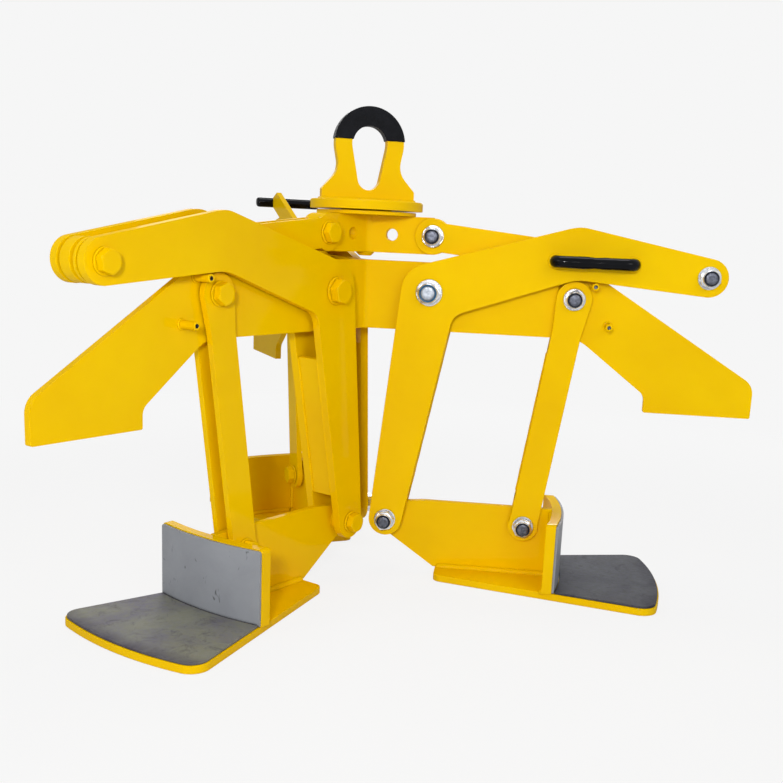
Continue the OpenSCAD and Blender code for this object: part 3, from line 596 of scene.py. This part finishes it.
def bead(piece, points, r, seed, closed=False):
    """A weld bead: a rippled tube whose outer half shows, thin at both ends."""
    phase = random.Random(seed).random() * 6
    length = sum((Vector(q) - Vector(p)).length for p, q in zip(points, points[1:]))

    def radius(u):
        ends = 1.0 if closed else min(1.0, BEAD_END + BEAD_GROWTH * min(u, 1 - u) * length)
        ripple = (u * length / RIPPLE + phase) % 1.0
        drift = math.sin(u * 2 * math.pi * length / DRIFT + phase)
        return r * ends * (0.93 + 0.12 * ripple ** 2 + 0.05 * drift)
    piece.tube(points, radius, 0, n=10, closed=closed)


def ring_path(at, r, y):
    n = max(24, int(2 * math.pi * r / BEAD_STEP))
    angles = [2 * math.pi * k / n for k in range(n)]
    return [(at[0] + r * math.cos(a), y, at[1] + r * math.sin(a)) for a in angles]


def edge_bead(piece, p, q, near, far, side, y, r, seed):
    """A bead beside the line from p to q in the arm's plane, cut back at both ends and moved sideways."""
    p, q = Vector(p), Vector(q)
    u = (q - p).normalized()
    n = Vector((-u.y, u.x)) * side
    a, b = p + u * near + n, q - u * far + n
    bead(piece, line((a.x, y, a.y), (b.x, y, b.y)), r, seed)


def leg_edge():
    """The lever leg's outer edge: the outer tangent of the circles round its two pivots."""
    slope = math.atan2(INNER_FOOT[1] - INNER_PIVOT[1], INNER_FOOT[0] - INNER_PIVOT[0])
    out = slope + math.acos((KNEE_R - HEEL_R) / LEG)
    circles = ((INNER_PIVOT, KNEE_R), (INNER_FOOT, HEEL_R))
    return [(c[0] + r * math.cos(out), c[1] + r * math.sin(out)) for c, r in circles]


def frame_welds(arm, index):
    p = Piece("welds_frame_" + arm, "frame", [PAINT], TURN[arm])
    x = FRAME_END + 0.0012
    for s in (1, -1):
        path = line((x, s * 0.0072, FRAME_LOW), (x, s * 0.0072, FRAME_TOP))
        bead(p, path, r=0.0036, seed=11 * index + s)
        for at in STOPS:
            bead(p, ring_path(at, PIN_R + 0.0008, s * 0.0066), r=0.0018, seed=5, closed=True)
        bead(p, ring_path(INNER_PIVOT, 0.0305, s * 0.0104), r=0.0022, seed=6, closed=True)
    p.done(sharp=BEAD_SHARP)


def lever_welds(arm):
    p = Piece("welds_lever_" + arm, "lever_" + arm, [PAINT], TURN[arm])
    for s in (-1, 1):
        end = (HANDLE[0] + s * HANDLE_REACH, HANDLE[1])
        bead(p, ring_path(end, 0.0104, -LEVER_OUT - 0.0004), r=0.0026, seed=9, closed=True)
    for s in (1, -1):
        edge_bead(p, *leg_edge(), near=0.106, far=0.058, side=-0.0018, y=s * (LEVER_IN - 0.0004), r=0.0026,
                  seed=61 + s)
    p.done(sharp=BEAD_SHARP)


def leg_welds(arm):
    p = Piece("welds_leg_" + arm, "leg_" + arm, [PAINT], TURN[arm])
    for s in (1, -1):
        edge_bead(p, OUTER_PIVOT, OUTER_FOOT, near=0.097, far=0.054, side=-0.0238, y=s * 0.0106, r=0.0022,
                  seed=71 + s)
    p.done(sharp=BEAD_SHARP)


def shoe_welds(arm):
    """Beads along the web's foot, up its outer end, and along the foot of the curved back."""
    p = Piece("welds_shoe_" + arm, "shoe_" + arm, [PAINT], TURN[arm])
    foot_z = BASE_T + 0.0004
    end_x = BACK_IN - 0.0006
    r = BACK_R - 0.0006
    n = 90
    a0, a1 = (WEB_HALF + 0.005) / BACK_R, (BACK_HALF - 0.002) / BACK_R
    angles = [a0 + (a1 - a0) * k / n for k in range(n + 1)]
    for s in (1, -1):
        y = s * WEB_HALF
        bead(p, line((BASE_IN + 0.001, y, foot_z), (BACK_IN - 0.003, y, foot_z)), r=0.0068, seed=21 + s)
        bead(p, line((end_x, y, BASE_T + 0.004), (end_x, y, BACK_H - 0.002)), r=0.0052, seed=31 + s)
        curve = [(BACK_C + r * math.cos(s * a), r * math.sin(s * a), BASE_T + 0.0006) for a in angles]
        bead(p, curve, r=0.0058, seed=41 + s)
    p.done(sharp=BEAD_SHARP)


def eye_weld():
    p = Piece("welds_eye", "eye", [PAINT], EYE_TURN)
    w, h, z = EYE_SHOULDER[0], EYE_HALF_T + 0.0002, DISC_TOP + 0.0006
    corners = [(-w, -h, z), (w, -h, z), (w, h, z), (-w, h, z)]
    loop = [point for k in range(4) for point in line(corners[k], corners[(k + 1) % 4])]
    bead(p, loop, r=0.0034, seed=3, closed=True)
    p.done(sharp=BEAD_SHARP)


for index, arm in enumerate(ARMS):
    frame_welds(arm, index)
    lever_welds(arm)
    leg_welds(arm)
    shoe_welds(arm)
eye_weld()


# Shoe plates: the base plate's corners run round into its outer edge, the linings follow

LINING_GAP = 0.001
LEVEL_INSET = 0.0025
UPRIGHT_INSET, UPRIGHT_RISE = 0.002, 0.0015


def side_at(x, inset):
    """The half width of the flared side, moved in by inset."""
    return BASE_HALF - inset / math.cos(BASE_FLARE) + (x - BASE_IN) * math.tan(BASE_FLARE)


def outer_half(inset):
    """The outline from the middle of the outer edge round the corner to the flared side."""
    r = BASE_CORNER - inset
    reach = BASE_OUT - inset
    x = BASE_IN
    for _ in range(60):
        y = side_at(x, BASE_CORNER)
        x += reach - r - math.hypot(x, y)
    turn = math.atan2(y, x)
    points = arc((0.0, 0.0), reach, 0.0, turn, 24)
    return points + arc((x, y), r, turn, math.pi / 2 + BASE_FLARE, 14)[1:]


def inner_round(r):
    """The base plate's inner corner between its flared side and its inner edge."""
    x = BASE_IN + r
    return arc((x, side_at(x, r)), r, math.pi / 2 + BASE_FLARE, math.pi, 10)


def back_foot(r, inset):
    """Points along a circle about the back plate's centre, from the lining's side to its middle."""
    x = BACK_C + r
    for _ in range(40):
        x = BACK_C + math.sqrt(r ** 2 - side_at(x, inset) ** 2)
    edge_y = side_at(x, inset)
    across = [edge_y * (1 - k / 20) for k in range(21)]
    return [(BACK_C + math.sqrt(r ** 2 - y ** 2), y) for y in across]


def slab(piece, half, z0, z1):
    """A plate from half of its outline; the other half is its mirror image."""
    outline = half + [(x, -y) for x, y in reversed(half) if y > 1e-6]
    piece.rings([[(x, y, z) for x, y in outline] for z in (z0, z1)], 0)


def curved_plate(piece, r0, r1, half_w, z0, z1, r):
    """An upright plate between two radii about the back plate's centre, with rounded upper corners."""
    n = 40
    flat = half_w - r
    across = [-half_w + r * (1 - math.cos(math.pi / 2 * k / 8)) for k in range(8)]
    across += [-flat + 2 * flat * k / n for k in range(n + 1)]
    across += [-y for y in across[7::-1]]
    rows = []
    for y in across:
        over = max(0.0, abs(y) - flat)
        top = z1 - r + math.sqrt(max(0.0, r * r - over * over))
        x0, x1 = (BACK_C + math.sqrt(q * q - y * y) for q in (r0, r1))
        rows.append([(x0, y, z0), (x1, y, z0), (x1, y, top), (x0, y, top)])
    piece.rings(rows, 0)


for arm in ARMS:
    p = Piece("dressed_base_" + arm, "shoe_" + arm, [PAINT], TURN[arm])
    slab(p, outer_half(0.0) + inner_round(BASE_IN_CORNER), 0.0, BASE_T)
    soften(p.done(("shoe_base_" + arm,)), edge=0.0010)
    p = Piece("dressed_back_" + arm, "shoe_" + arm, [PAINT], TURN[arm])
    curved_plate(p, BACK_R, BACK_FACE - LINING_T, BACK_HALF, BASE_T, BACK_H, BACK_CORNER)
    soften(p.done(("shoe_back_" + arm,)), edge=0.0010)
    p = Piece("dressed_upright_lining_" + arm, "shoe_" + arm, [UPRIGHT], TURN[arm])
    curved_plate(p, BACK_FACE - LINING_T, BACK_FACE, BACK_HALF - UPRIGHT_INSET, BASE_T + UPRIGHT_RISE,
                 BACK_H - UPRIGHT_INSET, BACK_CORNER - UPRIGHT_INSET)
    soften(p.done(("shoe_pads_" + arm,)), edge=0.0007)
    p = Piece("dressed_level_lining_" + arm, "shoe_" + arm, [LEVEL_DARK if arm == "a" else LEVEL], TURN[arm])
    outline = outer_half(LEVEL_INSET) + back_foot(BACK_FACE + LINING_GAP, LEVEL_INSET)
    slab(p, outline, BASE_T, BASE_T + LINING_T)
    soften(p.done(("shoe_pads_" + arm,)), edge=0.0007)


# Lifting eye: straight sides run from the ring into the flared foot

def round_corner(a, p, b, r, n):
    """An arc of radius r in the corner p between its neighbours a and b."""
    a, p, b = Vector(a), Vector(p), Vector(b)
    u, v = (a - p).normalized(), (b - p).normalized()
    half = u.angle(v) / 2
    centre = p + (u + v).normalized() * (r / math.sin(half))
    start, end = (p + w * (r / math.tan(half)) - centre for w in (u, v))
    a0 = math.atan2(start.y, start.x)
    swing = (math.atan2(end.y, end.x) - a0 + math.pi) % (2 * math.pi) - math.pi
    return arc(centre, r, a0, a0 + swing, n)


def eye_outline():
    """The outer edge, from the top of the ring down one side and up the other."""
    down = (EYE_NECK[0], EYE_NECK[1] - EYE_Z)
    touch = math.atan2(down[1], down[0]) + math.acos(EYE_R / math.hypot(*down))
    half = arc((0.0, EYE_Z), EYE_R, math.pi / 2, touch, 28)
    foot = (EYE_SHOULDER[0], DISC_TOP)
    half += round_corner(half[-1], EYE_NECK, EYE_SHOULDER, NECK_R, 12)
    half += round_corner(EYE_NECK, EYE_SHOULDER, foot, SHOULDER_R, 6)
    half.append(foot)
    return half + [(-x, z) for x, z in reversed(half) if x > 1e-6]


def eye_opening():
    """The opening: a wide arc above and a narrow one below, joined by their tangents."""
    lean = math.asin((OPEN_R - OPEN_LOW_R) / (EYE_Z - OPEN_LOW_Z))
    wide = arc((0.0, EYE_Z), OPEN_R, -lean, math.pi + lean, 36)
    return wide + arc((0.0, OPEN_LOW_Z), OPEN_LOW_R, math.pi + lean, 2 * math.pi - lean, 24)


def eye():
    p = Piece("dressed_eye", "eye", [PAINT], EYE_TURN)
    walls = [p.rings([[(x, y, z) for x, z in loop] for y in (-EYE_HALF_T, EYE_HALF_T)], 0, (False, False))
             for loop in (eye_outline(), eye_opening())]
    for k in (0, 1):
        rim = [p.bm.edges.get((rows[k][j - 1], rows[k][j])) for rows in walls for j in range(len(rows[k]))]
        made = bmesh.ops.triangle_fill(p.bm, use_beauty=True, use_dissolve=False, edges=rim)
        for face in made["geom"]:
            if isinstance(face, bmesh.types.BMFace):
                face.smooth = True
    soften(p.done(("lift_eye",)), edge=0.0016, segments=3)


eye()


# CAD nodes keep their shape, with softened edges and their finish

def dress(node, material, edge, segments):
    node.data.materials.clear()
    node.data.materials.append(material)
    weld = node.modifiers.new("weld", "WELD")
    weld.merge_threshold = 0.00006
    flat = node.modifiers.new("flat", "DECIMATE")
    flat.decimate_type = "DISSOLVE"
    flat.angle_limit = math.radians(0.6)
    soften(node, edge, segments)


for name, node in NODES.items():
    if node.hide_render:
        continue
    if name == "eye_coat":
        dress(node, COAT, edge=0.0008, segments=3)
    else:
        dress(node, PAINT, edge=0.0009, segments=2)


# Floor, light and camera

BACKDROP = "#F6F6F6"
FLOOR_R, FLOOR_Z = 40.0, -0.0005
FADE_FROM, FADE_TO = 0.7, 2.0
FLOOR_GLOW, FLOOR_LIFT = 0.87, 1.045
SKY = 0.30


def seen_ray(nodes, links):
    """1 for the rays that show the background itself: camera, mirror and glass."""
    ray = nodes.new("ShaderNodeLightPath")
    value = ray.outputs["Is Camera Ray"]
    for name in ("Is Glossy Ray", "Is Transmission Ray"):
        top = nodes.new("ShaderNodeMath")
        top.operation = "MAXIMUM"
        links.new(value, top.inputs[0])
        links.new(ray.outputs[name], top.inputs[1])
        value = top.outputs[0]
    return value


def floor_material():
    """A pale floor that glows as the background for rays that see it, and still takes a soft shadow."""
    t = Tree("floor")
    t.set(Base_Color="#D8D8D8", Roughness=0.9, Specular_IOR_Level=0.0)
    distance = t.distance()
    fade = t.span(distance, FADE_FROM, FADE_TO, FLOOR_GLOW, 1.0, "SMOOTHSTEP")
    emit = t.nodes.new("ShaderNodeEmission")
    t.put(emit.inputs["Color"], BACKDROP)
    t.put(emit.inputs["Strength"], t.span(distance, FADE_FROM, FADE_TO, FLOOR_LIFT, 1.0))
    both = t.nodes.new("ShaderNodeMixShader")
    t.put(both.inputs["Fac"], t.product(fade, seen_ray(t.nodes, t.links)))
    t.put(both.inputs[1], t.shader.outputs["BSDF"])
    t.put(both.inputs[2], emit.outputs["Emission"])
    t.put(t.nodes["Material Output"].inputs["Surface"], both.outputs["Shader"])
    return t.mat


def make_floor():
    bm = bmesh.new()
    bmesh.ops.create_circle(bm, cap_ends=True, segments=96, radius=FLOOR_R)
    mesh = bpy.data.meshes.new("floor")
    bm.to_mesh(mesh)
    bm.free()
    floor = bpy.data.objects.new("floor", mesh)
    floor.location.z = FLOOR_Z
    floor.data.materials.append(floor_material())
    bpy.context.scene.collection.objects.link(floor)


def make_world():
    """A dim even sky for light, and the backdrop's colour for the rays that see it."""
    world = bpy.data.worlds.new("world")
    world.use_nodes = True
    nodes, links = world.node_tree.nodes, world.node_tree.links
    nodes.clear()
    out = nodes.new("ShaderNodeOutputWorld")
    shown = nodes.new("ShaderNodeBackground")
    shown.inputs["Color"].default_value = srgb(BACKDROP)
    sky = nodes.new("ShaderNodeBackground")
    sky.inputs["Color"].default_value = srgb("#FFFFFF")
    sky.inputs["Strength"].default_value = SKY
    both = nodes.new("ShaderNodeMixShader")
    links.new(seen_ray(nodes, links), both.inputs["Fac"])
    links.new(sky.outputs[0], both.inputs[1])
    links.new(shown.outputs[0], both.inputs[2])
    links.new(both.outputs[0], out.inputs["Surface"])
    return world


def lamp(name, at, aim_z, size, watts, aim_x=0.0):
    """A rectangular lamp that shines at a point of the plane y = 0."""
    data = bpy.data.lights.new(name, "AREA")
    data.shape = "RECTANGLE"
    data.size, data.size_y = size
    data.energy = watts
    o = bpy.data.objects.new(name, data)
    o.location = at
    o.rotation_mode = "QUATERNION"
    o.rotation_quaternion = (Vector((aim_x, 0, aim_z)) - Vector(at)).to_track_quat("-Z", "Y")
    o.visible_camera = False
    bpy.context.scene.collection.objects.link(o)


make_floor()
scene = bpy.context.scene
scene.view_settings.view_transform = "Standard"
scene.world = make_world()
lamp("key", at=(1.9, -3.0, 1.8), aim_z=0.35, size=(1.5, 1.5), watts=26)
lamp("flash", at=(0.10, -2.3, 0.95), aim_z=0.35, size=(0.22, 0.22), watts=22.5)
lamp("fill", at=(-2.4, -2.3, 1.8), aim_z=0.35, size=(1.2, 1.2), watts=14)
lamp("top", at=(0.1, 0.4, 3.3), aim_z=0.4, size=(1.6, 1.6), watts=32)
lamp("rim", at=(0.35, 3.0, 1.08), aim_z=0.1, size=(0.6, 0.16), watts=6, aim_x=0.3)
lamp("back", at=(-0.9, 3.2, 1.7), aim_z=0.35, size=(1.6, 1.6), watts=26)


# The camera stands where a fit of the pivots in the photograph puts it; the first line is in its pixels

FOCAL_PX, CENTRE_X, CENTRE_Y, SIZE_PX = 1048.7, 402.9, 460.8, 783
YAW, PITCH, ROLL = math.radians(-5.857), math.radians(-12.45), math.radians(2.6)
CAMERA_AT = Vector((0.2664, -1.8059, 0.6019))
SENSOR_MM = 36.0


def make_camera():
    data = bpy.data.cameras.new("camera")
    camera = bpy.data.objects.new("camera", data)
    scene.collection.objects.link(camera)
    forward = Vector((math.sin(YAW) * math.cos(PITCH), math.cos(YAW) * math.cos(PITCH), math.sin(PITCH)))
    level = Vector((math.cos(YAW), -math.sin(YAW), 0.0))
    over = level.cross(forward)
    right = math.cos(ROLL) * level + math.sin(ROLL) * over
    up = -math.sin(ROLL) * level + math.cos(ROLL) * over
    axes = Matrix((right, up, -forward)).transposed()
    camera.matrix_world = Matrix.Translation(CAMERA_AT) @ axes.to_4x4()
    data.sensor_width = SENSOR_MM
    data.lens = FOCAL_PX / SIZE_PX * SENSOR_MM
    data.shift_x = (SIZE_PX / 2 - CENTRE_X) / SIZE_PX
    data.shift_y = (CENTRE_Y - SIZE_PX / 2) / SIZE_PX
    data.clip_start, data.clip_end = 0.05, 100.0
    return camera


scene.camera = make_camera()

bpy.context.view_layer.update()
